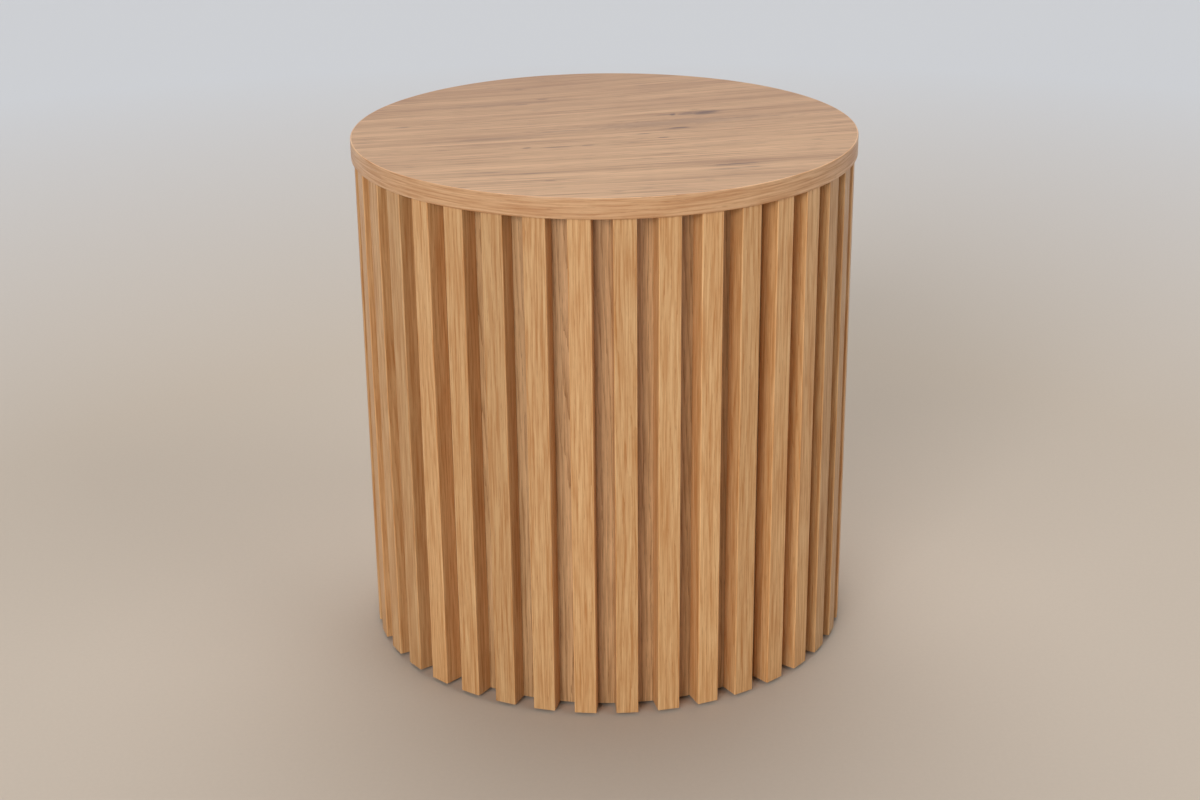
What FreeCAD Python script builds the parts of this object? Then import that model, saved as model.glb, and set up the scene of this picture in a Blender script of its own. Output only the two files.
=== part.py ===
import FreeCAD, Part
import os
import re
import Sketcher

# A round lamp table: a flat top on a drum of upright slats.
# The origin is on the floor under the middle of the table, and +Z is up.

# Driving sizes in millimetres and degrees, and counts
SIZES = {
    # the whole table
    "top_diameter": 480,
    "overall_height": 500,
    # the top: a board between two thin sheets, with a band round its rim
    "core_thickness": 18,
    "laminate_thickness": 0.4,
    "backing_thickness": 0.4,
    "edge_band_thickness": 1.3,
    "edge_band_arris": 0.8,
    # the slats, and how far the top stands out past their faces
    "slat_count": 38,
    "slat_width": 20.5,
    "slat_depth": 18.5,
    "slat_arris": 1.0,
    "top_overhang": 3,
    # the drum wall: two half shells whose seams hide behind slats, off their middle
    "wall_thickness": 6,
    "seam_angle": 1.5,
    # the formers inside the drum
    "ring_thickness": 18,
    "ring_width": 45,
    "middle_ring_height": 230,
    "base_thickness": 15,
    # the posts between the base board and the upper ring
    "post_count": 4,
    "post_angle": 45,
    "post_width": 28,
    "post_depth": 28,
    # gaps left for glue and fitting
    "glue_line": 0.1,
    "post_clearance": 0.5,
    "notch_clearance": 0.25,
    # countersunk screws: shank, head and length
    "slat_screw_diameter": 3,
    "slat_screw_head": 6,
    "slat_screw_length": 20,
    "slat_screw_inset": 70,
    "top_screw_count": 6,
    "top_screw_diameter": 4,
    "top_screw_head": 8,
    "top_screw_length": 30,
    "top_screw_inset": 15,
    "post_screw_diameter": 4.5,
    "post_screw_head": 9,
    "post_screw_length": 50,
    "ring_screw_diameter": 3.5,
    "ring_screw_head": 7,
    "ring_screw_length": 35,
    # dowels that place the top on the upper ring
    "dowel_count": 2,
    "dowel_angle": 90,
    "dowel_diameter": 8,
    "dowel_length": 24,
    "dowel_depth_in_top": 12,
    # the glides: plastic pads on nails
    "glide_count": 6,
    "glide_diameter": 22,
    "glide_height": 3,
    "glide_edge": 0.8,
    "glide_inset": 22,
    "nail_diameter": 2.2,
    "nail_head": 7,
    "nail_head_thickness": 0.8,
    "nail_length": 14,
    "nail_cover": 1,
}

# Sizes that follow from the driving ones, written as formulas of their names
TOP_RADIUS = "(top_diameter / 2)"
CORE_RADIUS = f"({TOP_RADIUS} - edge_band_thickness - glue_line)"
TOP_THICKNESS = "(core_thickness + laminate_thickness + backing_thickness)"
TOP_UNDERSIDE = f"(overall_height - {TOP_THICKNESS})"
CORE_UNDERSIDE = f"({TOP_UNDERSIDE} + backing_thickness)"
DRUM_HEIGHT = f"({TOP_UNDERSIDE} - glide_height)"
SLAT_FACE = f"({TOP_RADIUS} - top_overhang)"
SLAT_BACK = f"({SLAT_FACE} - slat_depth)"
SLAT_PITCH = "(360 / slat_count)"
WALL_OUTER = f"({SLAT_BACK} - glue_line)"
WALL_INNER = f"({WALL_OUTER} - wall_thickness)"
FORMER_RADIUS = f"({WALL_INNER} - glue_line)"
RING_INNER = f"({FORMER_RADIUS} - ring_width)"
RING_UNDERSIDE = f"({TOP_UNDERSIDE} - ring_thickness)"
BASE_TOP = "(glide_height + base_thickness)"
POST_FRONT = f"(sqrt({WALL_INNER} ^ 2 - (post_width / 2) ^ 2) - post_clearance)"
POST_BACK = f"({POST_FRONT} - post_depth)"
POST_MIDDLE = f"({POST_FRONT} - post_depth / 2)"
POST_LENGTH = f"({RING_UNDERSIDE} - {BASE_TOP})"
MIDDLE_RING_MIDDLE = "(glide_height + middle_ring_height + ring_thickness / 2)"
TOP_SCREW_CIRCLE = f"({RING_INNER} + top_screw_inset)"
GLIDE_CIRCLE = f"({FORMER_RADIUS} - glide_inset)"

doc = FreeCAD.newDocument("lamp_table")
pieces = []


def write_sheet():
    """Put every driving size in a cell that has its name."""
    sheet = doc.addObject("Spreadsheet::Sheet", "Sizes")
    for row, (name, number) in enumerate(SIZES.items(), start=1):
        sheet.set(f"A{row}", name)
        sheet.set(f"B{row}", str(number))
        sheet.setAlias(f"B{row}", name)
    doc.recompute()


def bind(thing, prop, formula):
    """Tie a property to the sheet: each size named in the formula becomes its cell."""
    cells = re.sub(r"[a-z_]+", lambda word: f"Sizes.{word[0]}" if word[0] in SIZES else word[0], formula)
    thing.setExpression(prop, cells)


def keep(piece):
    """Count a finished piece among those that are checked and written."""
    pieces.append(piece)
    return piece


def new_body(label, height="0", angle="0"):
    """Start a body at a height above the floor, turned about the table's axis."""
    body = doc.addObject("PartDesign::Body", label)
    body.Label = label
    body.Placement.Rotation = FreeCAD.Rotation(FreeCAD.Vector(0, 0, 1), 1)
    bind(body, "Placement.Base.z", height)
    bind(body, "Placement.Rotation.Angle", angle)
    return body


def origin_feature(body, role):
    return next(feature for feature in body.Origin.OriginFeatures if feature.Role == role)


def new_sketch(body, name, plane):
    sketch = body.newObject("Sketcher::SketchObject", name)
    sketch.AttachmentSupport = [(origin_feature(body, plane), "")]
    sketch.MapMode = "FlatFace"
    return sketch


def place_point(sketch, shape, corner, across, along):
    """Hold a point of a sketch at two formulas, counted from the sketch's origin."""
    for kind, axis, formula in (("DistanceX", -2, across), ("DistanceY", -1, along)):
        if formula == "0":
            sketch.addConstraint(Sketcher.Constraint("PointOnObject", shape, corner, axis))
            continue
        ends = (-1, 1, shape, corner)
        if formula.startswith("-"):
            ends = (shape, corner, -1, 1)
        index = sketch.addConstraint(Sketcher.Constraint(kind, *ends, 1.0))
        bind(sketch, f"Constraints[{index}]", formula.removeprefix("-"))


def polygon_sketch(body, name, plane, points):
    """Draw a closed outline through points that are given as pairs of formulas."""
    sketch = new_sketch(body, name, plane)
    count = len(points)
    circle = Part.Circle(FreeCAD.Vector(), FreeCAD.Vector(0, 0, 1), count)
    corners = circle.discretize(count + 1)
    for start, end in zip(corners, corners[1:]):
        sketch.addGeometry(Part.LineSegment(start, end))
    for line in range(count):
        sketch.addConstraint(Sketcher.Constraint("Coincident", line, 2, (line + 1) % count, 1))
    for line, (across, along) in enumerate(points):
        place_point(sketch, line, 1, across, along)
    return sketch


def circle_sketch(body, name, plane, circles):
    """Draw circles, each given as formulas for its middle and its radius."""
    sketch = new_sketch(body, name, plane)
    for number, (across, along, radius) in enumerate(circles):
        sketch.addGeometry(Part.Circle(FreeCAD.Vector(number, number, 0), FreeCAD.Vector(0, 0, 1), 1))
        place_point(sketch, number, 3, across, along)
        index = sketch.addConstraint(Sketcher.Constraint("Radius", number, 1.0))
        bind(sketch, f"Constraints[{index}]", radius)
    return sketch


def pad(body, sketch, length):
    feature = body.newObject("PartDesign::Pad", "pad")
    feature.Profile = sketch
    bind(feature, "Length", length)
    return feature


def pocket(body, sketch, length):
    """Cut along the sketch's own normal for a length, and make sure that it cut."""
    doc.recompute()
    before = body.Shape.Volume
    feature = body.newObject("PartDesign::Pocket", "pocket")
    feature.Profile = sketch
    feature.Reversed = True
    bind(feature, "Length", length)
    doc.recompute()
    if body.Shape.Volume >= before:
        raise RuntimeError(f"the pocket in {body.Label} cuts nothing")
    return feature


def revolve(body, sketch, axis, angle="360"):
    feature = body.newObject("PartDesign::Revolution", "revolution")
    feature.Profile = sketch
    feature.ReferenceAxis = (sketch, [axis])
    bind(feature, "Angle", angle)
    return feature


def ring_of(body, features, count):
    """Repeat features evenly round the table's axis."""
    pattern = body.newObject("PartDesign::PolarPattern", "pattern")
    pattern.Originals = features
    pattern.Axis = (origin_feature(body, "Z_Axis"), [""])
    pattern.Angle = 360
    bind(pattern, "Occurrences", count)
    body.Tip = pattern
    return pattern


def round_edges(body, feature, radius, wanted):
    """Round the edges of a feature that a test picks out."""
    doc.recompute()
    names = [f"Edge{number}" for number, edge in enumerate(feature.Shape.Edges, start=1) if wanted(edge)]
    fillet = body.newObject("PartDesign::Fillet", "arris")
    fillet.Base = (feature, names)
    bind(fillet, "Radius", radius)


def drilled(label, blank, fasteners):
    """Cut the room for fasteners out of a blank, which becomes the finished piece."""
    for number, fastener in enumerate(fasteners, start=1):
        cut = doc.addObject("Part::Cut", f"{label}_hole_{number}")
        cut.Base = blank
        cut.Tool = fastener
        blank = cut
    blank.Label = label
    return keep(blank)


def disc(label, height, radius, thickness):
    body = new_body(label, height)
    pad(body, circle_sketch(body, "outline", "XY_Plane", [("0", "0", radius)]), thickness)
    return body


def annulus(label, height, inner, outer, thickness, angle="0"):
    body = new_body(label, height, angle)
    sketch = circle_sketch(body, "outline", "XY_Plane", [("0", "0", inner), ("0", "0", outer)])
    return body, pad(body, sketch, thickness)


def screw(body, seat, heading, name):
    """Turn one countersunk screw whose head is flush with its seat (radius, height).

    Its heading is out from the table's axis, up or down. The tip is a cone as long as the shank is thick.
    """
    shank = f"({name}_diameter / 2)"
    head = f"({name}_head / 2)"
    profile = [
        ("0", "0"),
        ("0", head),
        (f"({head} - {shank})", shank),
        (f"({name}_length - {name}_diameter)", shank),
        (f"{name}_length", "0"),
    ]
    radius, height = seat
    steps = {
        "out": lambda depth, side: (f"({radius} + {depth})", f"({height} + {side})"),
        "up": lambda depth, side: (f"({radius} + {side})", f"({height} + {depth})"),
        "down": lambda depth, side: (f"({radius} + {side})", f"({height} - {depth})"),
    }
    points = [steps[heading](depth, side) for depth, side in profile]
    sketch = polygon_sketch(body, "screw_profile", "XZ_Plane", points)
    return revolve(body, sketch, "Edge5")


# Screws and dowels first, because the boards are drilled for them

def make_slat_screws():
    """Two screws for each slat, driven from inside the drum wall."""
    body = new_body("slat_screws", "glide_height", f"{SLAT_PITCH} / 2 - 90")
    low = screw(body, (WALL_INNER, "slat_screw_inset"), "out", "slat_screw")
    high = screw(body, (WALL_INNER, f"({DRUM_HEIGHT} - slat_screw_inset)"), "out", "slat_screw")
    ring_of(body, [low, high], "slat_count")
    return keep(body)


def make_top_screws():
    """Screws up through the upper ring into the board of the top."""
    body = new_body("top_screws")
    one = screw(body, (TOP_SCREW_CIRCLE, RING_UNDERSIDE), "up", "top_screw")
    ring_of(body, [one], "top_screw_count")
    return keep(body)


def make_post_screws():
    """A screw into both ends of each post, through the upper ring and the base board."""
    body = new_body("post_screws", angle="post_angle")
    upper = screw(body, (POST_MIDDLE, TOP_UNDERSIDE), "down", "post_screw")
    lower = screw(body, (POST_MIDDLE, "glide_height"), "up", "post_screw")
    ring_of(body, [upper, lower], "post_count")
    return keep(body)


def make_middle_ring_screws():
    """Screws out through the middle ring into the back of each post."""
    body = new_body("middle_ring_screws", angle="post_angle")
    one = screw(body, (RING_INNER, MIDDLE_RING_MIDDLE), "out", "ring_screw")
    ring_of(body, [one], "post_count")
    return keep(body)


def make_top_dowels():
    """Dowels half in the upper ring and half in the top, which put the top in its place."""
    body = new_body("top_dowels", f"{CORE_UNDERSIDE} + dowel_depth_in_top - dowel_length", "dowel_angle")
    sketch = circle_sketch(body, "outline", "XY_Plane", [(TOP_SCREW_CIRCLE, "0", "dowel_diameter / 2")])
    ring_of(body, [pad(body, sketch, "dowel_length")], "dowel_count")
    return keep(body)


def make_glide_nails():
    """Nails whose flat heads are moulded into the glide pads."""
    body = new_body("glide_nails")
    shank = f"({GLIDE_CIRCLE} + nail_diameter / 2)"
    head = f"({GLIDE_CIRCLE} + nail_head / 2)"
    head_top = "(nail_cover + nail_head_thickness)"
    points = [
        (GLIDE_CIRCLE, "nail_cover"),
        (head, "nail_cover"),
        (head, head_top),
        (shank, head_top),
        (shank, "(nail_cover + nail_length - nail_diameter)"),
        (GLIDE_CIRCLE, "(nail_cover + nail_length)"),
    ]
    nail = revolve(body, polygon_sketch(body, "nail_profile", "XZ_Plane", points), "Edge6")
    ring_of(body, [nail], "glide_count")
    return keep(body)


# The drum, from the floor up

def make_glide_pads(nails):
    """Round plastic pads with an eased lower edge."""
    body = new_body("glide_pad_blanks")
    rim = f"({GLIDE_CIRCLE} + glide_diameter / 2)"
    points = [
        (GLIDE_CIRCLE, "0"),
        (f"({rim} - glide_edge)", "0"),
        (rim, "glide_edge"),
        (rim, "glide_height"),
        (GLIDE_CIRCLE, "glide_height"),
    ]
    one = revolve(body, polygon_sketch(body, "pad_profile", "XZ_Plane", points), "Edge5")
    ring_of(body, [one], "glide_count")
    drilled("glide_pads", body, [nails])


def make_base_board(nails, post_screws):
    """The closed round board at the bottom of the drum, level with the wall's lower edge."""
    blank = disc("base_board_blank", "glide_height", FORMER_RADIUS, "base_thickness")
    drilled("base_board", blank, [nails, post_screws])


def make_posts(post_screws, ring_screws):
    """Square battens that stand on the base board and carry the upper ring."""
    side = "post_width / 2"
    outline = [(POST_BACK, f"-({side})"), (POST_FRONT, f"-({side})"), (POST_FRONT, side), (POST_BACK, side)]
    for number in range(SIZES["post_count"]):
        turn = f"post_angle + {number} * 360 / post_count"
        body = new_body(f"post_{number + 1}_blank", BASE_TOP, turn)
        pad(body, polygon_sketch(body, "outline", "XY_Plane", outline), POST_LENGTH)
        drilled(f"post_{number + 1}", body, [post_screws, ring_screws])


def make_middle_ring(ring_screws):
    """A ring half way up, notched round the posts."""
    body, _ = annulus("middle_ring_blank", "glide_height + middle_ring_height",
                      RING_INNER, FORMER_RADIUS, "ring_thickness", "post_angle")
    side = "(post_width / 2 + notch_clearance)"
    bottom = f"({POST_BACK} - notch_clearance)"
    outline = [(bottom, f"-{side}"), (WALL_OUTER, f"-{side}"), (WALL_OUTER, side), (bottom, side)]
    notch = pocket(body, polygon_sketch(body, "notch", "XY_Plane", outline), "ring_thickness")
    ring_of(body, [notch], "post_count")
    drilled("middle_ring", body, [ring_screws])


def make_upper_ring(fasteners):
    """The ring under the top, level with the wall's upper edge."""
    blank, _ = annulus("upper_ring_blank", RING_UNDERSIDE, RING_INNER, FORMER_RADIUS, "ring_thickness")
    drilled("upper_ring", blank, fasteners)


def make_drum_wall(slat_screws):
    """Two half shells of bent board that meet behind a slat on each side."""
    outline = [(WALL_INNER, "0"), (WALL_OUTER, "0"), (WALL_OUTER, DRUM_HEIGHT), (WALL_INNER, DRUM_HEIGHT)]
    for label, turn in (("drum_wall_front", "180 + seam_angle"), ("drum_wall_rear", "seam_angle")):
        body = new_body(f"{label}_blank", "glide_height", turn)
        sketch = polygon_sketch(body, "section", "XZ_Plane", outline)
        revolve(body, sketch, "V_Axis", "180")
        drilled(label, body, [slat_screws])


def make_slats():
    """Square slats with eased front edges and a flat back, with pilot holes for their screws."""
    side = "slat_width / 2"
    outline = [(SLAT_BACK, f"-({side})"), (SLAT_FACE, f"-({side})"), (SLAT_FACE, side), (SLAT_BACK, side)]
    hole_heights = ("slat_screw_inset", f"({DRUM_HEIGHT} - slat_screw_inset)")
    holes = [("0", height, "slat_screw_diameter / 2") for height in hole_heights]
    for number in range(SIZES["slat_count"]):
        turn = f"{SLAT_PITCH} * {number + 0.5} - 90"
        body = new_body(f"slat_{number + 1:02d}", "glide_height", turn)
        bar = pad(body, polygon_sketch(body, "outline", "XY_Plane", outline), DRUM_HEIGHT)
        round_edges(body, bar, "slat_arris", is_front_arris)
        pocket(body, circle_sketch(body, "pilot_holes", "YZ_Plane", holes), f"{WALL_INNER} + slat_screw_length")
        keep(body)


def is_front_arris(edge):
    """An upright edge on the outer side of a slat that stands on the X axis."""
    box = edge.BoundBox
    face = SIZES["top_diameter"] / 2 - SIZES["top_overhang"]
    return box.ZLength > SIZES["slat_width"] and box.XMin > face - SIZES["slat_depth"] / 2


# The top

def make_top_backing_sheet(fasteners):
    """The thin sheet under the board, which keeps it flat."""
    blank = disc("top_backing_blank", TOP_UNDERSIDE, CORE_RADIUS, "backing_thickness")
    drilled("top_backing_sheet", blank, fasteners)


def make_top_core(fasteners):
    """The round board of the top, drilled from below."""
    blank = disc("top_core_blank", CORE_UNDERSIDE, CORE_RADIUS, "core_thickness")
    drilled("top_core", blank, fasteners)


def make_top_laminate():
    """The decor sheet that is the table's upper face."""
    keep(disc("top_laminate", f"{CORE_UNDERSIDE} + core_thickness", CORE_RADIUS, "laminate_thickness"))


def make_top_edge_band():
    """The band round the rim, as high as the whole top, with its outer edges eased."""
    inner = f"({TOP_RADIUS} - edge_band_thickness)"
    body, band = annulus("top_edge_band", TOP_UNDERSIDE, inner, TOP_RADIUS, TOP_THICKNESS)
    round_edges(body, band, "edge_band_arris", is_outer_rim)
    keep(body)


def is_outer_rim(edge):
    """A whole circle of the top's full size."""
    size = SIZES["top_diameter"] - SIZES["edge_band_thickness"]
    return edge.BoundBox.XLength > size and edge.BoundBox.ZLength < SIZES["edge_band_arris"]


def check(piece_list):
    """Stop before anything is written if a piece failed or is no solid."""
    for thing in doc.Objects:
        if "Invalid" in thing.State or "Error" in thing.State:
            raise RuntimeError(f"{thing.Label} failed: {thing.State}")
    for piece in piece_list:
        shape = piece.Shape
        if shape.isNull() or not shape.isValid() or not shape.Solids:
            raise RuntimeError(f"{piece.Label} has no valid solid")


def write_steps(piece_list):
    os.makedirs("parts", exist_ok=True)
    for piece in piece_list:
        piece.Shape.exportStep(f"parts/{piece.Label}.step")
        print(f"{piece.Label}: {len(piece.Shape.Solids)} solids, {piece.Shape.Volume:.1f} mm3")


write_sheet()
slat_screw_group = make_slat_screws()
top_screw_group = make_top_screws()
post_screw_group = make_post_screws()
ring_screw_group = make_middle_ring_screws()
dowel_group = make_top_dowels()
nail_group = make_glide_nails()
make_glide_pads(nail_group)
make_base_board(nail_group, post_screw_group)
make_posts(post_screw_group, ring_screw_group)
make_middle_ring(ring_screw_group)
make_upper_ring([top_screw_group, post_screw_group, dowel_group])
make_drum_wall(slat_screw_group)
make_slats()
make_top_backing_sheet([top_screw_group, dowel_group])
make_top_core([top_screw_group, dowel_group])
make_top_laminate()
make_top_edge_band()
doc.recompute()
check(pieces)
write_steps(pieces)
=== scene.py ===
import math
import random

import bmesh
import bpy
from mathutils import Matrix, Vector


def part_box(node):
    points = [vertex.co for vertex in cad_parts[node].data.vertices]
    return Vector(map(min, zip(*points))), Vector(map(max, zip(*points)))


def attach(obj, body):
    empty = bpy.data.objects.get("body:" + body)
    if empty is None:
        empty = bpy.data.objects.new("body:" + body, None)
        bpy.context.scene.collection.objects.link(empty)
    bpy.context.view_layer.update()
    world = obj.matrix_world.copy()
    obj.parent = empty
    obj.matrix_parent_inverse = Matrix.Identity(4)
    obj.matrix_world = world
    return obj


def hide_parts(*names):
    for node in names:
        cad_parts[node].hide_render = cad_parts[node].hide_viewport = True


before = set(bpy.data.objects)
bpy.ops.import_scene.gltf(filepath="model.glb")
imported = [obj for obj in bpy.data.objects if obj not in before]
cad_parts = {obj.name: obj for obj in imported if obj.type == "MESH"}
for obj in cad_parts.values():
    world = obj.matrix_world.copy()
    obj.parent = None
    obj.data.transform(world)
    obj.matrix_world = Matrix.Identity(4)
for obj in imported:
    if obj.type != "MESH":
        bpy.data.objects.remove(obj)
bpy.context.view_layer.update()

# Glides: six round pads of black polyethylene, moulded round the head of a steel nail
# and driven into the base board. They hold the drum a few millimetres off the floor.

per_metre = 1000         # millimetres: the scene is in metres, and patterns are sized in millimetres


def linear(colour):
    """A hex sRGB colour as the linear numbers that a shader takes."""
    channels = [int(colour[start:start + 2], 16) / 255 for start in (1, 3, 5)]
    curve = [c / 12.92 if c <= 0.04045 else ((c + 0.055) / 1.055) ** 2.4 for c in channels]
    return (*curve, 1.0)


def add(tree, kind, inputs=None, **settings):
    """Add a node with its settings. An input is a value, a socket, or a node whose first output is used."""
    node = tree.nodes.new(kind)
    for name, value in settings.items():
        setattr(node, name, value)
    for socket, value in (inputs or {}).items():
        if isinstance(value, bpy.types.Node):
            value = next(output for output in value.outputs if output.enabled)
        if isinstance(value, bpy.types.NodeSocket):
            tree.links.new(value, node.inputs[socket])
        else:
            node.inputs[socket].default_value = value
    return node


def new_material(name):
    """A material with its one shader, ready for nodes."""
    material = bpy.data.materials.new(name)
    material.use_nodes = True
    return material, material.node_tree, material.node_tree.nodes["Principled BSDF"]


def connect(tree, shader, **sockets):
    """Lead nodes into the shader's sockets, whose names are written with underscores."""
    for name, node in sockets.items():
        add_to = shader.inputs[name.replace("_", " ")]
        tree.links.new(next(output for output in node.outputs if output.enabled), add_to)


def dress(material, *nodes):
    """Give CAD nodes a finish."""
    for node in nodes:
        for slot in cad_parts[node].material_slots:
            slot.material = material


# Moulded polyethylene is waxy: a soft sheen over a fine orange peel, about 0.6 mm from dimple to dimple.
polyethylene, tree, shader = new_material("moulded black polyethylene")
peel_size = 0.6
place = add(tree, "ShaderNodeTexCoord").outputs["Object"]
peel = add(tree, "ShaderNodeTexNoise", {"Vector": place, "Scale": per_metre / peel_size, "Detail": 3.0})
gloss = add(tree, "ShaderNodeMapRange", {"Value": peel, "To Min": 0.42, "To Max": 0.6})
tint = add(tree, "ShaderNodeMix", {0: peel, 6: linear("#161616"), 7: linear("#232221")}, data_type="RGBA")
dimples = add(tree, "ShaderNodeBump", {"Height": peel, "Strength": 0.2, "Distance": 0.0002})
connect(tree, shader, Base_Color=tint, Roughness=gloss, Normal=dimples)
shader.inputs["IOR"].default_value = 1.51
dress(polyethylene, "glide_pads")

# Screws and nails: countersunk wood screws and glide nails of steel with bright zinc plate.
# Most are hidden inside the drum, and four screw heads are level with the base board's face.

# Zinc plate is a pale metal with a faint cloudy passivation and fine drawing marks. The marks are drawn
# coarser than real ones, so that they show.
zinc, tree, shader = new_material("zinc plated steel")
cloud_size = 2.0
mark_size = 0.5
place = add(tree, "ShaderNodeTexCoord").outputs["Object"]
clouds = add(tree, "ShaderNodeTexNoise", {"Vector": place, "Scale": per_metre / cloud_size, "Detail": 4.0})
marks = add(tree, "ShaderNodeTexNoise", {"Vector": place, "Scale": per_metre / mark_size, "Detail": 1.0})
tint = add(tree, "ShaderNodeMix", {0: clouds, 6: linear("#C9C8C0"), 7: linear("#B4B8BC")}, data_type="RGBA")
gloss = add(tree, "ShaderNodeMapRange", {"Value": marks, "To Min": 0.24, "To Max": 0.42})
drawn = add(tree, "ShaderNodeBump", {"Height": marks, "Strength": 0.15, "Distance": 0.0001})
connect(tree, shader, Base_Color=tint, Roughness=gloss, Normal=drawn)
shader.inputs["Metallic"].default_value = 1.0
dress(zinc, "slat_screws", "top_screws", "post_screws", "middle_ring_screws", "glide_nails")

# Base board, middle ring and upper ring: round formers sawn from medium-density fibre board.
# They are glued inside the drum wall, and the base board closes it from below.

# Fibre board is an even felt of brown wood fibre, matt, with paler and darker flecks under a millimetre
# long and a slow change of tone from patch to patch.
fibre_board, tree, shader = new_material("raw fibre board")
fleck_size = 0.8
patch_size = 45.0
place = add(tree, "ShaderNodeTexCoord").outputs["Object"]
flecks = add(tree, "ShaderNodeTexNoise", {"Vector": place, "Scale": per_metre / fleck_size, "Detail": 4.0,
                                          "Roughness": 0.7})
patches = add(tree, "ShaderNodeTexNoise", {"Vector": place, "Scale": per_metre / patch_size, "Detail": 2.0})
felt = add(tree, "ShaderNodeMapRange", {"Value": flecks, "From Min": 0.3, "From Max": 0.7})
tint = add(tree, "ShaderNodeMix", {0: felt, 6: linear("#8A6A49"), 7: linear("#B39269")}, data_type="RGBA")
shade = add(tree, "ShaderNodeMapRange", {"Value": patches, "To Min": 0.86, "To Max": 1.08})
tone = add(tree, "ShaderNodeVectorMath", {0: tint, "Scale": shade}, operation="SCALE")
gloss = add(tree, "ShaderNodeMapRange", {"Value": felt, "To Min": 0.94, "To Max": 0.82})
fuzz = add(tree, "ShaderNodeBump", {"Height": flecks, "Strength": 0.3, "Distance": 0.0002})
connect(tree, shader, Base_Color=tone, Roughness=gloss, Normal=fuzz)
dress(fibre_board, "base_board", "middle_ring", "upper_ring")

# Posts: four planed pine battens that stand on the base board, screwed to it and to the upper ring.
# The grain runs upright.

# Planed pine is pale yellow with orange latewood lines a few millimetres apart.
pine, tree, shader = new_material("planed pine")
pine_ring = 5.0
pine_stretch = 0.04
place = add(tree, "ShaderNodeTexCoord").outputs["Object"]
upright = add(tree, "ShaderNodeVectorMath", {0: place, 1: (1.0, 1.0, pine_stretch)}, operation="MULTIPLY")
lines = add(tree, "ShaderNodeTexNoise", {"Vector": upright, "Scale": per_metre / pine_ring, "Detail": 3.0})
tint = add(tree, "ShaderNodeMix", {0: lines, 6: linear("#E3C48F"), 7: linear("#BE8F55")}, data_type="RGBA")
gloss = add(tree, "ShaderNodeMapRange", {"Value": lines, "To Min": 0.68, "To Max": 0.52})
fibres = add(tree, "ShaderNodeBump", {"Height": lines, "Strength": 0.15, "Distance": 0.0002})
connect(tree, shader, Base_Color=tint, Roughness=gloss, Normal=fibres)
dress(pine, "post_1", "post_2", "post_3", "post_4")

# Drum wall: two half shells of bent board, faced with oak whose grain runs upright.
# They are glued round the formers and meet behind a slat on each side.

wall_low, wall_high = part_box("drum_wall_front")
wall_radius = wall_high.x
wall_thickness = 0.006
wall_seam_angle = math.radians(1.5)
wall_facets = 304
end_normal = 0.9         # a face whose normal points up or down by more than this is a sawn end


def start_piece(name, primitive, **settings):
    """Add a primitive alone in the selection, under the name of the piece that it becomes."""
    bpy.ops.object.select_all(action="DESELECT")
    primitive(**settings)
    piece = bpy.context.object
    piece.name = name
    bpy.ops.object.transform_apply(location=True, rotation=True, scale=True)
    return piece


def pick_edges(test):
    """In edit mode, select the edges whose two ends pass a test."""
    bpy.ops.mesh.select_all(action="DESELECT")
    bpy.ops.mesh.select_mode(type="EDGE")
    mesh = bpy.context.object.data
    shape = bmesh.from_edit_mesh(mesh)
    for edge in shape.edges:
        edge.select_set(test(edge.verts[0].co, edge.verts[1].co))
    bmesh.update_edit_mesh(mesh)


def apply_modifier(piece, kind, **settings):
    """Add a modifier with its settings, and apply it at once."""
    bpy.context.view_layer.objects.active = piece
    modifier = piece.modifiers.new(kind.lower(), kind)
    for name, value in settings.items():
        setattr(modifier, name, value)
    bpy.ops.object.modifier_apply(modifier=modifier.name)


def smooth(piece, degrees):
    """Shade gentle edges smooth, with flat faces kept flat up to their rounded arrises."""
    bpy.ops.object.select_all(action="DESELECT")
    piece.select_set(True)
    bpy.context.view_layer.objects.active = piece
    bpy.ops.object.shade_smooth_by_angle(angle=math.radians(degrees))
    apply_modifier(piece, "WEIGHTED_NORMAL", keep_sharp=True)


def lay_grain(piece, place):
    """Store where each corner lies on its board: millimetres across and along, and the board's number.

    The board's tone is stored beside it. The function called place gives all four.
    """
    mesh = piece.data
    mesh.attributes.new("grain", "FLOAT_VECTOR", "CORNER")
    mesh.attributes.new("tone", "FLOAT", "CORNER")
    grain = mesh.attributes["grain"]
    tone = mesh.attributes["tone"]
    for face in mesh.polygons:
        for corner in face.loop_indices:
            point = mesh.vertices[mesh.loops[corner].vertex_index].co
            *spot, shade = place(face.center, point)
            grain.data[corner].vector = spot
            tone.data[corner].value = shade


def copy_piece(piece, name, turn=0.0):
    """Copy a piece with a mesh of its own, turned about the table's axis."""
    twin = bpy.data.objects.new(name, piece.data.copy())
    bpy.context.scene.collection.objects.link(twin)
    twin.data.transform(Matrix.Rotation(turn, 4, "Z"))
    return twin


def finish_piece(piece, node):
    """Put a piece in the place of its CAD node."""
    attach(piece, "root")
    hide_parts(node)


def show_ends(piece, board):
    """Sawn ends show the bare board: faces that look up or down take the second material."""
    piece.data.materials.append(board)
    for face in piece.data.polygons:
        if abs(face.normal.z) > end_normal:
            face.material_index = 1


ring_width = 4.6         # from one growth ring to the next, in millimetres
ring_tear = 0.7 * ring_width  # how far fine streaks pull a ring's line to and fro
ring_fade = 4.0          # how fast a ring fades from its dark line
heart_sway = 12.0        # how far the heart of the log wanders sideways under a board
heart_rise = 110.0       # how far it wanders up and down
heart_depth = -30.0      # and from what depth
board_gap = 3.7          # boards lie this far apart in the noise, so that no two look alike


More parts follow.
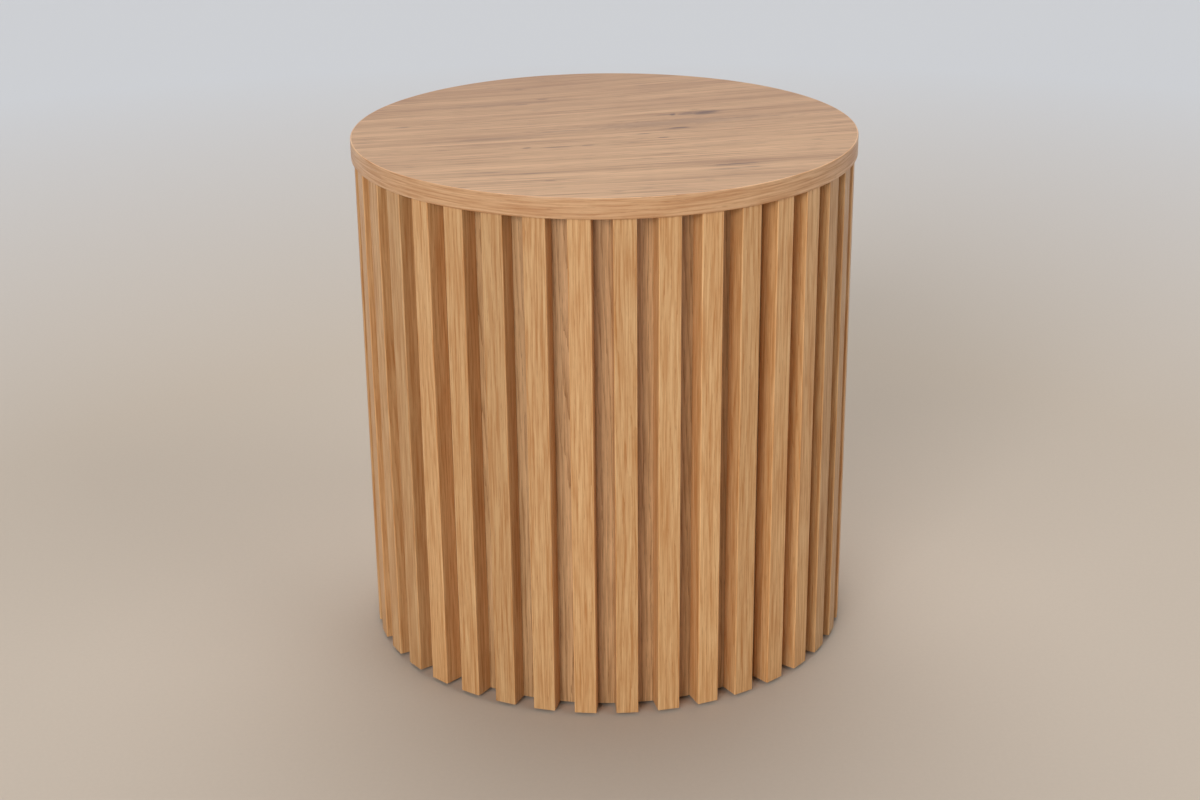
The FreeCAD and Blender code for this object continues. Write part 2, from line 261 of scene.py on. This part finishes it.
def oak_finish(name, light, dark, pore, shares):
    """Oak-look facing: a flat-sawn figure under a satin lacquer, with the pores pressed in.

    The heart of the log lies at a changing depth below the board, so the growth rings run straight at
    the sides and close into arches where the board cuts across them. The shares say how much of the
    dark colour comes from the rings, the fibres, the broad runs and the pores.
    """
    material, tree, shader = new_material(name)
    grain = add(tree, "ShaderNodeAttribute", attribute_name="grain").outputs["Vector"]
    spot = add(tree, "ShaderNodeSeparateXYZ", {0: grain})

    def streaks(width, length, detail):
        """Noise drawn out along the grain: width and length of a streak in millimetres."""
        stretch = (1 / width, 1 / length, board_gap)
        drawn = add(tree, "ShaderNodeVectorMath", {0: grain, 1: stretch}, operation="MULTIPLY")
        return add(tree, "ShaderNodeTexNoise", {"Vector": drawn, "Scale": 1.0, "Detail": detail})

    sway = add(tree, "ShaderNodeMath", {0: streaks(45.0, 260.0, 2.0), 1: heart_sway, 2: spot.outputs[0]},
               operation="MULTIPLY_ADD")
    depth = add(tree, "ShaderNodeMath", {0: streaks(400.0, 900.0, 1.0), 1: heart_rise, 2: heart_depth},
                operation="MULTIPLY_ADD")
    section = add(tree, "ShaderNodeCombineXYZ", {0: sway, 1: depth})
    from_heart = add(tree, "ShaderNodeVectorMath", {0: section}, operation="LENGTH")
    ragged = add(tree, "ShaderNodeMath", {0: streaks(2.5, 40.0, 2.0), 1: ring_tear, 2: from_heart},
                 operation="MULTIPLY_ADD")
    growth = add(tree, "ShaderNodeMath", {0: ragged, 1: ring_width}, operation="DIVIDE")
    season = add(tree, "ShaderNodeMath", {0: growth}, operation="FRACT")
    late = add(tree, "ShaderNodeMath", {0: 1.0, 1: season}, operation="SUBTRACT")
    rings = add(tree, "ShaderNodeMath", {0: late, 1: ring_fade}, operation="POWER")
    fibres = add(tree, "ShaderNodeMapRange", {"Value": streaks(1.5, 45.0, 3.0), "From Min": 0.4,
                                              "From Max": 0.6})
    runs = add(tree, "ShaderNodeMapRange", {"Value": streaks(5.0, 130.0, 2.0), "From Min": 0.34,
                                            "From Max": 0.66})
    # Real pores are about half as wide. They are drawn coarser, so that they show.
    specks = add(tree, "ShaderNodeMapRange", {"Value": streaks(0.6, 9.0, 1.0), "From Min": 0.56,
                                              "From Max": 0.7})
    pores = add(tree, "ShaderNodeMath", {0: specks, 1: late}, operation="MULTIPLY")
    ring_share, fibre_share, run_share, pore_share = shares
    figure = add(tree, "ShaderNodeMath", {0: rings, 1: ring_share}, operation="MULTIPLY")
    figure = add(tree, "ShaderNodeMath", {0: fibres, 1: fibre_share, 2: figure}, operation="MULTIPLY_ADD")
    figure = add(tree, "ShaderNodeMath", {0: runs, 1: run_share, 2: figure}, operation="MULTIPLY_ADD")
    tint = add(tree, "ShaderNodeMix", {0: figure, 6: linear(light), 7: linear(dark)}, data_type="RGBA")
    pore_depth = add(tree, "ShaderNodeMath", {0: pores, 1: pore_share}, operation="MULTIPLY")
    grained = add(tree, "ShaderNodeMix", {0: pore_depth, 6: tint, 7: linear(pore)}, data_type="RGBA")
    tone = add(tree, "ShaderNodeAttribute", attribute_name="tone").outputs["Fac"]
    toned = add(tree, "ShaderNodeVectorMath", {0: grained, "Scale": tone}, operation="SCALE")
    gloss = add(tree, "ShaderNodeMapRange", {"Value": fibres, "To Min": 0.34, "To Max": 0.46})
    relief = add(tree, "ShaderNodeMath", {0: pores, 1: -1.0}, operation="MULTIPLY")
    press = add(tree, "ShaderNodeBump", {"Height": relief, "Strength": 0.35, "Distance": 0.0002})
    connect(tree, shader, Base_Color=toned, Roughness=gloss, Normal=press)
    shader.inputs["IOR"].default_value = 1.5
    return material


# The wall's oak facing is the darkest of the three oaks, with clear rings that stand upright.
wall_oak = oak_finish("oak faced bent board", "#DDB484", "#9F7040", "#6A4828", (0.5, 0.36, 0.25, 0.4))

front_wall = start_piece(
    "wall_panel_front", bpy.ops.mesh.primitive_cylinder_add, vertices=wall_facets, radius=wall_radius,
    depth=wall_high.z - wall_low.z, end_fill_type="NOTHING",
    location=(0, 0, (wall_low.z + wall_high.z) / 2))
bpy.ops.object.mode_set(mode="EDIT")
bpy.ops.mesh.select_all(action="SELECT")
rear_side = (-math.sin(wall_seam_angle), math.cos(wall_seam_angle), 0)
bpy.ops.mesh.bisect(plane_co=(0, 0, 0), plane_no=rear_side, clear_outer=True)
bpy.ops.object.mode_set(mode="OBJECT")
apply_modifier(front_wall, "SOLIDIFY", thickness=wall_thickness, offset=-1)
front_wall.data.materials.append(wall_oak)
show_ends(front_wall, fibre_board)
smooth(front_wall, degrees=30)
rear_wall = copy_piece(front_wall, "wall_panel_rear", math.pi)

leaf_width = 95.0        # of one leaf of facing, in millimetres
leaf_margin = 10.0       # from the heart of the log to the edge of the leaf
leaf_shift = 700.0       # along the log, from one leaf to the next
leaf_first = 200         # the leaves' numbers lie round this one, away from those of the slats
leaf_tone = 0.94         # the darkest of three tones that take turns
leaf_tone_step = 0.06


def on_wall(centre, point):
    """Upright leaves side by side round the drum, each with its own number."""
    turn = math.atan2(centre.y, centre.x)
    round_drum = turn * wall_radius * per_metre
    leaf = math.floor(round_drum / leaf_width)
    aside = (math.atan2(point.y, point.x) - turn + math.pi) % math.tau - math.pi
    across = round_drum + aside * wall_radius * per_metre - leaf * leaf_width + leaf_margin
    along = point.z * per_metre + leaf_shift * leaf
    return across, along, leaf + leaf_first, leaf_tone + leaf_tone_step * (leaf % 3)


for wall, node in ((front_wall, "drum_wall_front"), (rear_wall, "drum_wall_rear")):
    lay_grain(wall, on_wall)
    finish_piece(wall, node)

# Slats: square bars of fibre board wrapped in oak-look foil, with eased front arrises.
# Each stands on the drum wall, glued and screwed from inside, and its ends are sawn off square.

slat_nodes = sorted(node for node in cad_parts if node[:5] == "slat_" and node[5:].isdigit())
slat_pitch = math.tau / len(slat_nodes)
side_slat = max(slat_nodes, key=lambda node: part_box(node)[1].x)
slat_low, slat_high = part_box(side_slat)
slat_arris = 0.001

# Foil wrap is a warm honey oak, mostly straight fine fibres, with a satin sheen.
slat_oak = oak_finish("oak foil wrap", "#E6B983", "#BA7737", "#9A602D", (0.25, 0.42, 0.3, 0.35))

bar = start_piece("slat_bar", bpy.ops.mesh.primitive_cube_add, size=1, location=(slat_low + slat_high) / 2,
                  scale=slat_high - slat_low)
bpy.ops.object.mode_set(mode="EDIT")
pick_edges(lambda a, b: min(a.x, b.x) > slat_high.x - slat_arris and abs(a.z - b.z) > slat_arris)
bpy.ops.mesh.bevel(offset=slat_arris, segments=4, affect="EDGES")
bpy.ops.object.mode_set(mode="OBJECT")
bar.data.materials.append(slat_oak)
show_ends(bar, fibre_board)
smooth(bar, degrees=40)

slat_heart_reach = 45.0  # the heart of the log lies up to this far from a slat, in millimetres
slat_heart_gap = 25.0    # beyond a gap that keeps most arches off the slats
foil_length = 3000.0     # of the roll of foil that the slats are wrapped from
slat_tones = (-0.12, 0.09)
# The arrises are drawn this much paler: mostly a painted highlight, partly foil stretched paler there.
slat_arris_highlight_and_stretch = 1.12
chance = random.Random(24477)
for number, node in enumerate(slat_nodes):
    heart = chance.uniform(-slat_heart_reach, slat_heart_reach)
    start = chance.uniform(0, foil_length)
    tone = 1 + chance.uniform(*slat_tones)
    heart += math.copysign(slat_heart_gap, heart)

    def on_slat(centre, point):
        """The foil goes round the bar from side to side. Its arrises are painted paler: mostly a painted
        highlight, partly foil stretched paler there.
        """
        side = math.copysign(slat_high.x - point.x, point.y)
        on_arris = centre.x > slat_high.x - slat_arris and abs(centre.y) > slat_high.y - slat_arris
        shade = tone * slat_arris_highlight_and_stretch if on_arris else tone
        return heart + (point.y + side) * per_metre, start + point.z * per_metre, number, shade

    # The bar was made at the right. The first slat stands half a pitch to the right of the front.
    turn = (number + 0.5) * slat_pitch - math.pi / 2
    slat = copy_piece(bar, f"wrapped_slat_{number + 1:02d}")
    lay_grain(slat, on_slat)
    slat.data.transform(Matrix.Rotation(turn, 4, "Z"))
    finish_piece(slat, node)
bpy.data.objects.remove(bar)

# Top board: a disc of particle board between two thin sheets, screwed to the upper ring from below.
# The lower sheet, a plain brown balancing paper, shows only where the top stands out past the slats.

# Particle board is pressed chips, a few millimetres each, in tans and browns.
particle_board, tree, shader = new_material("particle board")
chip_size = 2.5
place = add(tree, "ShaderNodeTexCoord").outputs["Object"]
chips = add(tree, "ShaderNodeTexVoronoi", {"Vector": place, "Scale": per_metre / chip_size})
chip_tone = add(tree, "ShaderNodeSeparateColor", {0: chips.outputs["Color"]})
tint = add(tree, "ShaderNodeMix", {0: chip_tone, 6: linear("#C2A070"), 7: linear("#8F6E46")},
           data_type="RGBA")
rough_chips = add(tree, "ShaderNodeBump", {"Height": chips.outputs["Distance"], "Strength": 0.3,
                                           "Distance": 0.0003})
gloss = add(tree, "ShaderNodeMapRange", {"Value": chip_tone, "To Min": 0.84, "To Max": 0.95})
connect(tree, shader, Base_Color=tint, Roughness=gloss, Normal=rough_chips)
dress(particle_board, "top_core")

# Balancing paper is matt brown kraft with a faint fibre.
kraft, tree, shader = new_material("brown balancing paper")
kraft_fibre = 1.5
place = add(tree, "ShaderNodeTexCoord").outputs["Object"]
fibre = add(tree, "ShaderNodeTexNoise", {"Vector": place, "Scale": per_metre / kraft_fibre, "Detail": 4.0})
tint = add(tree, "ShaderNodeMix", {0: fibre, 6: linear("#8D6B48"), 7: linear("#A98560")}, data_type="RGBA")
gloss = add(tree, "ShaderNodeMapRange", {"Value": fibre, "To Min": 0.55, "To Max": 0.75})
felted = add(tree, "ShaderNodeBump", {"Height": fibre, "Strength": 0.15, "Distance": 0.0001})
connect(tree, shader, Base_Color=tint, Roughness=gloss, Normal=felted)
dress(kraft, "top_backing_sheet")

# Dowels: two round beech pegs, glued half in the upper ring and half in the top.
# They put the top in its place before it is screwed down.

# Beech is pinkish tan with short darker flecks, about 2 mm wide and drawn out along the peg.
beech, tree, shader = new_material("beech")
beech_fleck = 2.0
beech_stretch = 0.3
place = add(tree, "ShaderNodeTexCoord").outputs["Object"]
upright = add(tree, "ShaderNodeVectorMath", {0: place, 1: (1.0, 1.0, beech_stretch)}, operation="MULTIPLY")
fleck = add(tree, "ShaderNodeTexNoise", {"Vector": upright, "Scale": per_metre / beech_fleck,
                                         "Detail": 3.0})
tint = add(tree, "ShaderNodeMix", {0: fleck, 6: linear("#D9B48A"), 7: linear("#B98A60")}, data_type="RGBA")
gloss = add(tree, "ShaderNodeMapRange", {"Value": fleck, "To Min": 0.5, "To Max": 0.62})
rays = add(tree, "ShaderNodeBump", {"Height": fleck, "Strength": 0.15, "Distance": 0.0001})
connect(tree, shader, Base_Color=tint, Roughness=gloss, Normal=rays)
dress(beech, "top_dowels")

# Top decor sheet: a thin laminate printed with knotty oak, pressed on the board before it is cut round.
# Its grain runs nearly from left to right.

sheet_low, sheet_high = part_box("top_laminate")
sheet_ease = 0.00012
sheet_facets = 256
grain_slope = 0.24       # the grain climbs to the right
grain_fan = 0.0004       # and more steeply toward the back, by this much for each millimetre
grain_bend = 0.7         # how strongly a knot spreads the lines of the grain round it
darker_back = 0.0009     # how much darker the top is drawn for each millimetre toward the back
tear_width = 2.4         # of the notches in the torn edge of a knot, in millimetres
tear_length = 22.0
tear_reach = 0.35        # and how deep they go, as a share of the knot
stain_share = 0.7        # how much of the stain's own colour shows
# Knots, dashes and stains of the print, in millimetres: place right of and behind the centre, half length
# and half width, how dark the mark is, how dark the stain round it is, and how many times as wide it is.
knots = (
    (98, 62, 15, 7.5, 0.95, 0.6, 1.8),
    (80, 57, 10, 5.0, 0.5, 0.5, 1.8),
    (66, 54, 3.5, 4.5, 0.85, 0.45, 2.2),
    (57, 53, 9, 2.0, 0.45, 0.35, 2.0),
    (71, 1, 11, 2.8, 0.75, 0.5, 2.5),
    (70, 22, 150, 15, 0.0, 0.75, 1.0),
    (40, 10, 60, 8, 0.0, 0.55, 1.2),
    (122, -130, 17, 2.6, 0.7, 0.5, 3.0),
    (107, -134, 8, 2.4, 0.45, 0.45, 3.0),
    (132, -141, 10, 2.0, 0.4, 0.4, 3.0),
    (112, -147, 14, 2.0, 0.35, 0.4, 3.0),
    (-70, -71, 4, 2.2, 0.7, 0.35, 2.0),
    (-44, -69, 16, 1.4, 0.6, 0.35, 2.0),
    (-15, -63, 6, 1.6, 0.5, 0.35, 2.0),
    (38, -21, 9, 1.6, 0.5, 0.4, 2.0),
    (56, -35, 5, 1.8, 0.55, 0.35, 2.0),
    (28, -53, 8, 1.4, 0.45, 0.35, 2.0),
    (-50, -12, 9, 1.8, 0.35, 0.4, 2.5),
    (-105, -38, 60, 8.0, 0.0, 0.65, 1.2),
    (-84, 99, 7, 2.2, 0.45, 0.4, 2.5),
    (-64, 122, 6, 2.4, 0.45, 0.4, 2.5),
    (-112, 100, 90, 12, 0.0, 0.35, 1.2),
    (-192, 9, 8, 2.2, 0.45, 0.4, 2.5),
    (-90, 165, 6, 2.4, 0.35, 0.35, 2.5),
    (-65, -160, 26, 1.4, 0.35, 0.4, 3.0),
    (-100, -156, 14, 1.6, 0.3, 0.4, 4.0),
    (-45, -183, 6, 1.6, 0.45, 0.35, 2.0),
)

# The laminate is a satin print of oak: long soft bands and streaks, thin dark dashes, and knots round
# which the grain bends.
decor, tree, shader = new_material("knotty oak decor laminate")
place = add(tree, "ShaderNodeTexCoord").outputs["Object"]
flat = add(tree, "ShaderNodeVectorMath", {0: place, "Scale": float(per_metre)}, operation="SCALE")
rightward, backward, _ = add(tree, "ShaderNodeSeparateXYZ", {0: flat}).outputs
slope = add(tree, "ShaderNodeMath", {0: backward, 1: grain_fan, 2: grain_slope}, operation="MULTIPLY_ADD")
climb = add(tree, "ShaderNodeMath", {0: rightward, 1: slope}, operation="MULTIPLY")
across = add(tree, "ShaderNodeMath", {0: backward, 1: climb}, operation="SUBTRACT")
torn_place = add(tree, "ShaderNodeCombineXYZ", {0: across, 1: rightward})
torn_lines = add(tree, "ShaderNodeVectorMath", {0: torn_place, 1: (1 / tear_width, 1 / tear_length, 1.0)},
                 operation="MULTIPLY")
torn_noise = add(tree, "ShaderNodeTexNoise", {"Vector": torn_lines, "Scale": 1.0, "Detail": 2.0})
torn_edge = add(tree, "ShaderNodeMapRange", {"Value": torn_noise, "From Min": 0.3, "From Max": 0.7,
                                             "To Min": -tear_reach, "To Max": tear_reach})
core = 0.0
stain = 0.0
for x, y, half_length, half_width, depth, stain_depth, reach in knots:
    knot_line = y - x * (grain_slope + grain_fan * y)
    off_line = add(tree, "ShaderNodeMath", {0: across, 1: knot_line}, operation="SUBTRACT")
    wide = add(tree, "ShaderNodeMath", {0: off_line, 1: half_width}, operation="DIVIDE")
    off_end = add(tree, "ShaderNodeMath", {0: rightward, 1: x}, operation="SUBTRACT")
    long = add(tree, "ShaderNodeMath", {0: off_end, 1: half_length}, operation="DIVIDE")
    oval = add(tree, "ShaderNodeCombineXYZ", {0: long, 1: wide})
    round_knot = add(tree, "ShaderNodeVectorMath", {0: oval}, operation="LENGTH")
    away = add(tree, "ShaderNodeMath", {0: torn_edge, 1: round_knot}, operation="ADD")
    inside = add(tree, "ShaderNodeMapRange", {"Value": away, "From Min": 1.1, "From Max": 0.5,
                                              "To Max": depth}, interpolation_type="SMOOTHSTEP")
    around = add(tree, "ShaderNodeMapRange", {"Value": away, "From Min": reach, "From Max": 0.2,
                                              "To Max": stain_depth}, interpolation_type="SMOOTHSTEP")
    core = add(tree, "ShaderNodeMath", {0: core, 1: inside}, operation="MAXIMUM")
    stain = add(tree, "ShaderNodeMath", {0: stain, 1: around}, operation="MAXIMUM")
    bend = add(tree, "ShaderNodeMath", {0: off_line, 1: around}, operation="MULTIPLY")
    across = add(tree, "ShaderNodeMath", {0: bend, 1: -grain_bend, 2: across}, operation="MULTIPLY_ADD")
print_grain = add(tree, "ShaderNodeCombineXYZ", {0: across, 1: rightward})


def print_streaks(width, length, detail, shift):
    """Noise drawn out along the bent grain: width and length of a streak in millimetres.

    The shift gives each kind of streak a part of the noise to itself.
    """
    stretch = (1 / width, 1 / length, 1.0)
    drawn = add(tree, "ShaderNodeVectorMath", {0: print_grain, 1: stretch, 2: (shift, 0, shift)},
                operation="MULTIPLY_ADD")
    return add(tree, "ShaderNodeTexNoise", {"Vector": drawn, "Scale": 1.0, "Detail": detail})


# The top's colour is drawn darker toward the back.
back_darkening = add(tree, "ShaderNodeMath", {0: backward, 1: darker_back}, operation="MULTIPLY")
broad = add(tree, "ShaderNodeMath", {0: print_streaks(22.0, 800.0, 2.0, 3.0), 1: 1.45, 2: back_darkening},
            operation="MULTIPLY_ADD")
middle = add(tree, "ShaderNodeMath", {0: print_streaks(5.0, 260.0, 3.0, 11.0), 1: 0.24, 2: broad},
             operation="MULTIPLY_ADD")
fine = print_streaks(1.8, 90.0, 4.0, 23.0)
clear = add(tree, "ShaderNodeMapRange", {"Value": print_streaks(26.0, 170.0, 1.0, 71.0), "From Min": 0.35,
                                         "From Max": 0.65, "To Min": 0.35, "To Max": 2.05})
fine_swing = add(tree, "ShaderNodeMath", {0: fine, 1: 0.5}, operation="SUBTRACT")
whole = add(tree, "ShaderNodeMath", {0: fine_swing, 1: clear, 2: middle}, operation="MULTIPLY_ADD")
level = add(tree, "ShaderNodeMapRange", {"Value": whole, "From Min": 0.5, "From Max": 1.32})
tint = add(tree, "ShaderNodeMix", {0: level, 6: linear("#DFAF80"), 7: linear("#A9774D")}, data_type="RGBA")
hair = add(tree, "ShaderNodeMapRange", {"Value": print_streaks(2.2, 170.0, 2.0, 53.0), "From Min": 0.54,
                                        "From Max": 0.62, "To Max": 0.45})
lined = add(tree, "ShaderNodeMix", {0: hair, 6: tint, 7: linear("#9C6A45")}, data_type="RGBA")
dash = add(tree, "ShaderNodeMapRange", {"Value": print_streaks(1.8, 26.0, 1.0, 37.0), "From Min": 0.6,
                                        "From Max": 0.8, "To Max": 0.6})
dashed = add(tree, "ShaderNodeMix", {0: dash, 6: lined, 7: linear("#785337")}, data_type="RGBA")
soft_stain = add(tree, "ShaderNodeMath", {0: stain, 1: stain_share}, operation="MULTIPLY")
stained = add(tree, "ShaderNodeMix", {0: soft_stain, 6: dashed, 7: linear("#8A6144")}, data_type="RGBA")
torn = add(tree, "ShaderNodeMapRange", {"Value": fine, "From Min": 0.3, "From Max": 0.55, "To Min": 0.5})
dark_core = add(tree, "ShaderNodeMath", {0: core, 1: torn}, operation="MULTIPLY")
knotty = add(tree, "ShaderNodeMix", {0: dark_core, 6: stained, 7: linear("#5C3424")}, data_type="RGBA")
gloss = add(tree, "ShaderNodeMapRange", {"Value": fine, "To Min": 0.42, "To Max": 0.54})
press = add(tree, "ShaderNodeBump", {"Height": fine, "Strength": 0.08, "Distance": 0.0002})
connect(tree, shader, Base_Color=knotty, Roughness=gloss, Normal=press)
shader.inputs["IOR"].default_value = 1.5

sheet = start_piece(
    "top_decor_sheet", bpy.ops.mesh.primitive_cylinder_add, vertices=sheet_facets, radius=sheet_high.x,
    depth=sheet_high.z - sheet_low.z, location=(0, 0, (sheet_low.z + sheet_high.z) / 2))
bpy.ops.object.mode_set(mode="EDIT")
pick_edges(lambda a, b: min(a.z, b.z) > sheet_high.z - sheet_ease)
bpy.ops.mesh.bevel(offset=sheet_ease, segments=2, affect="EDGES")
bpy.ops.object.mode_set(mode="OBJECT")
sheet.data.materials.append(decor)
smooth(sheet, degrees=30)
finish_piece(sheet, "top_laminate")

# Edge band: a strip of oak-look edging glued round the rim, its grain along the strip.
# It is as high as the whole top, and its outer arrises are scraped round.

band_low, band_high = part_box("top_edge_band")
band_radius = -band_low.x
band_thickness = 0.0013
band_arris = 0.0012
band_facets = 256

# Edge banding is a pale oak with fine fibres that follow the rim, as satin as the slats.
band_oak = oak_finish("oak edge banding", "#E2B588", "#B57743", "#8F5A2E", (0.25, 0.42, 0.25, 0.35))

band = start_piece(
    "edge_band", bpy.ops.mesh.primitive_cylinder_add, vertices=band_facets, radius=band_radius,
    depth=band_high.z - band_low.z, end_fill_type="NOTHING",
    location=(0, 0, (band_low.z + band_high.z) / 2))
apply_modifier(band, "SOLIDIFY", thickness=band_thickness, offset=-1)
bpy.ops.object.mode_set(mode="EDIT")
pick_edges(lambda a, b: min(a.xy.length, b.xy.length) > band_radius - band_arris
           and abs(a.z - b.z) < band_arris)
bpy.ops.mesh.bevel(offset=band_arris, segments=6, affect="EDGES")
bpy.ops.object.mode_set(mode="OBJECT")
band.data.materials.append(band_oak)
smooth(band, degrees=40)

band_heart = 30.0        # from the heart of the log to the strip's lower edge, in millimetres
band_start = 4000.0      # along the log, to the middle of the strip
band_number = 77         # a number that no slat and no leaf of the wall has
band_tone = 1.04
highlight_share = 0.3      # of the height of the upper arris is painted paler: a painted highlight
# how much paler the painted highlight on the upper arris is
highlight_tone = 1.28


def on_band(centre, point):
    """The grain follows the rim, the strip's ends meet at the back, and the upper arris is painted paler,
    as a painted highlight.
    """
    turn = math.atan2(centre.x, -centre.y)
    aside = (math.atan2(point.x, -point.y) - turn + math.pi) % math.tau - math.pi
    across = (point.z - band_low.z) * per_metre + band_heart
    along = (turn + aside) * band_radius * per_metre + band_start
    highlighted = centre.z > band_high.z - highlight_share * band_arris
    return across, along, band_number, highlight_tone if highlighted else band_tone


lay_grain(band, on_band)
finish_piece(band, "top_edge_band")

# Studio: a round pale floor whose edge sweeps up into a low wall on every side, soft light from the
# left, the right and behind, and a camera at the photograph's angle.

floor_radius = 16.0
floor_wall = 2.2
floor_sweep = 1.5
floor_facets = 96
floor = start_piece("studio_floor", bpy.ops.mesh.primitive_cylinder_add, vertices=floor_facets,
                    radius=floor_radius, depth=floor_wall, end_fill_type="NOTHING",
                    location=(0, 0, floor_wall / 2))
bpy.ops.object.mode_set(mode="EDIT")
pick_edges(lambda a, b: max(a.z, b.z) < floor_wall / 2)
bpy.ops.mesh.edge_face_add()
pick_edges(lambda a, b: max(a.z, b.z) < floor_wall / 2)
bpy.ops.mesh.bevel(offset=floor_sweep, segments=12, affect="EDGES")
bpy.ops.mesh.select_all(action="SELECT")
bpy.ops.mesh.normals_make_consistent(inside=True)
bpy.ops.object.mode_set(mode="OBJECT")
smooth(floor, degrees=30)

# Studio paper is matt, warm round the table and a cool pale grey further off. Its faint tooth is drawn
# far coarser than real, at 4 mm, so that it shows.
paper, tree, shader = new_material("pale background paper")
paper_tooth = 4.0
paper_warm = 0.8         # metres from the table's foot to where the warm paper starts to turn cool
paper_cool = 2.6         # and to where it has turned
place = add(tree, "ShaderNodeTexCoord").outputs["Object"]
tooth = add(tree, "ShaderNodeTexNoise", {"Vector": place, "Scale": per_metre / paper_tooth, "Detail": 3.0})
off_table = add(tree, "ShaderNodeVectorMath", {0: place}, operation="LENGTH")
distance = add(tree, "ShaderNodeMapRange", {"Value": off_table, "From Min": paper_warm,
                                            "From Max": paper_cool})
paper_tint = add(tree, "ShaderNodeMix", {0: distance, 6: linear("#D2C4B4"), 7: linear("#DCDEE2")},
                 data_type="RGBA")
shade = add(tree, "ShaderNodeMapRange", {"Value": tooth, "To Min": 0.97, "To Max": 1.03})
tint = add(tree, "ShaderNodeVectorMath", {0: paper_tint, "Scale": shade}, operation="SCALE")
gloss = add(tree, "ShaderNodeMapRange", {"Value": tooth, "To Min": 0.86, "To Max": 0.94})
toothed = add(tree, "ShaderNodeBump", {"Height": tooth, "Strength": 0.05, "Distance": 0.0002})
connect(tree, shader, Base_Color=tint, Roughness=gloss, Normal=toothed)
floor.data.materials.append(paper)

scene = bpy.context.scene
scene.view_settings.view_transform = "Standard"
world = bpy.data.worlds.new("studio")
world.use_nodes = True
world.node_tree.nodes["Background"].inputs["Color"].default_value = linear("#EEF1F5")
world.node_tree.nodes["Background"].inputs["Strength"].default_value = 0.04
scene.world = world


def soft_light(name, round_table, up, width, strength):
    """A far soft source: its place in degrees round from the front and up from the floor, and its width."""
    turn = math.radians(round_table)
    rise = math.radians(up)
    toward = Vector((-math.sin(turn) * math.cos(rise), math.cos(turn) * math.cos(rise), -math.sin(rise)))
    lamp = bpy.data.lights.new(name, "SUN")
    lamp.angle = math.radians(width)
    lamp.energy = strength
    source = bpy.data.objects.new(name, lamp)
    source.rotation_euler = toward.to_track_quat("-Z", "Y").to_euler()
    scene.collection.objects.link(source)


soft_light("window_left_front", round_table=-20, up=20, width=26, strength=1.38)
soft_light("window_left", round_table=-40, up=35, width=26, strength=0.36)
soft_light("fill_right", round_table=60, up=32, width=35, strength=0.54)
soft_light("light_behind", round_table=180, up=62, width=60, strength=1.5)
soft_light("low_light_behind", round_table=180, up=25, width=60, strength=0.51)

photo_width = 1200
focal_pixels = 2027.0
sensor = 36.0
camera_place = (0.0208, -1.8834, 0.9708)
pitch, yaw, roll = 0.37808, -0.01452, -0.01023
lens = bpy.data.cameras.new("photo_camera")
lens.sensor_width = sensor
lens.lens = focal_pixels / photo_width * sensor
ahead = Vector((math.sin(yaw) * math.cos(pitch), math.cos(yaw) * math.cos(pitch), -math.sin(pitch)))
right = Vector((math.cos(yaw), -math.sin(yaw), 0))
up = right.cross(ahead)
tilted_right = math.cos(roll) * right + math.sin(roll) * up
tilted_up = math.cos(roll) * up - math.sin(roll) * right
view = Matrix((tilted_right, tilted_up, -ahead)).transposed().to_4x4()
view.translation = camera_place
camera = bpy.data.objects.new("photo_camera", lens)
camera.matrix_world = view
scene.collection.objects.link(camera)
scene.camera = camera
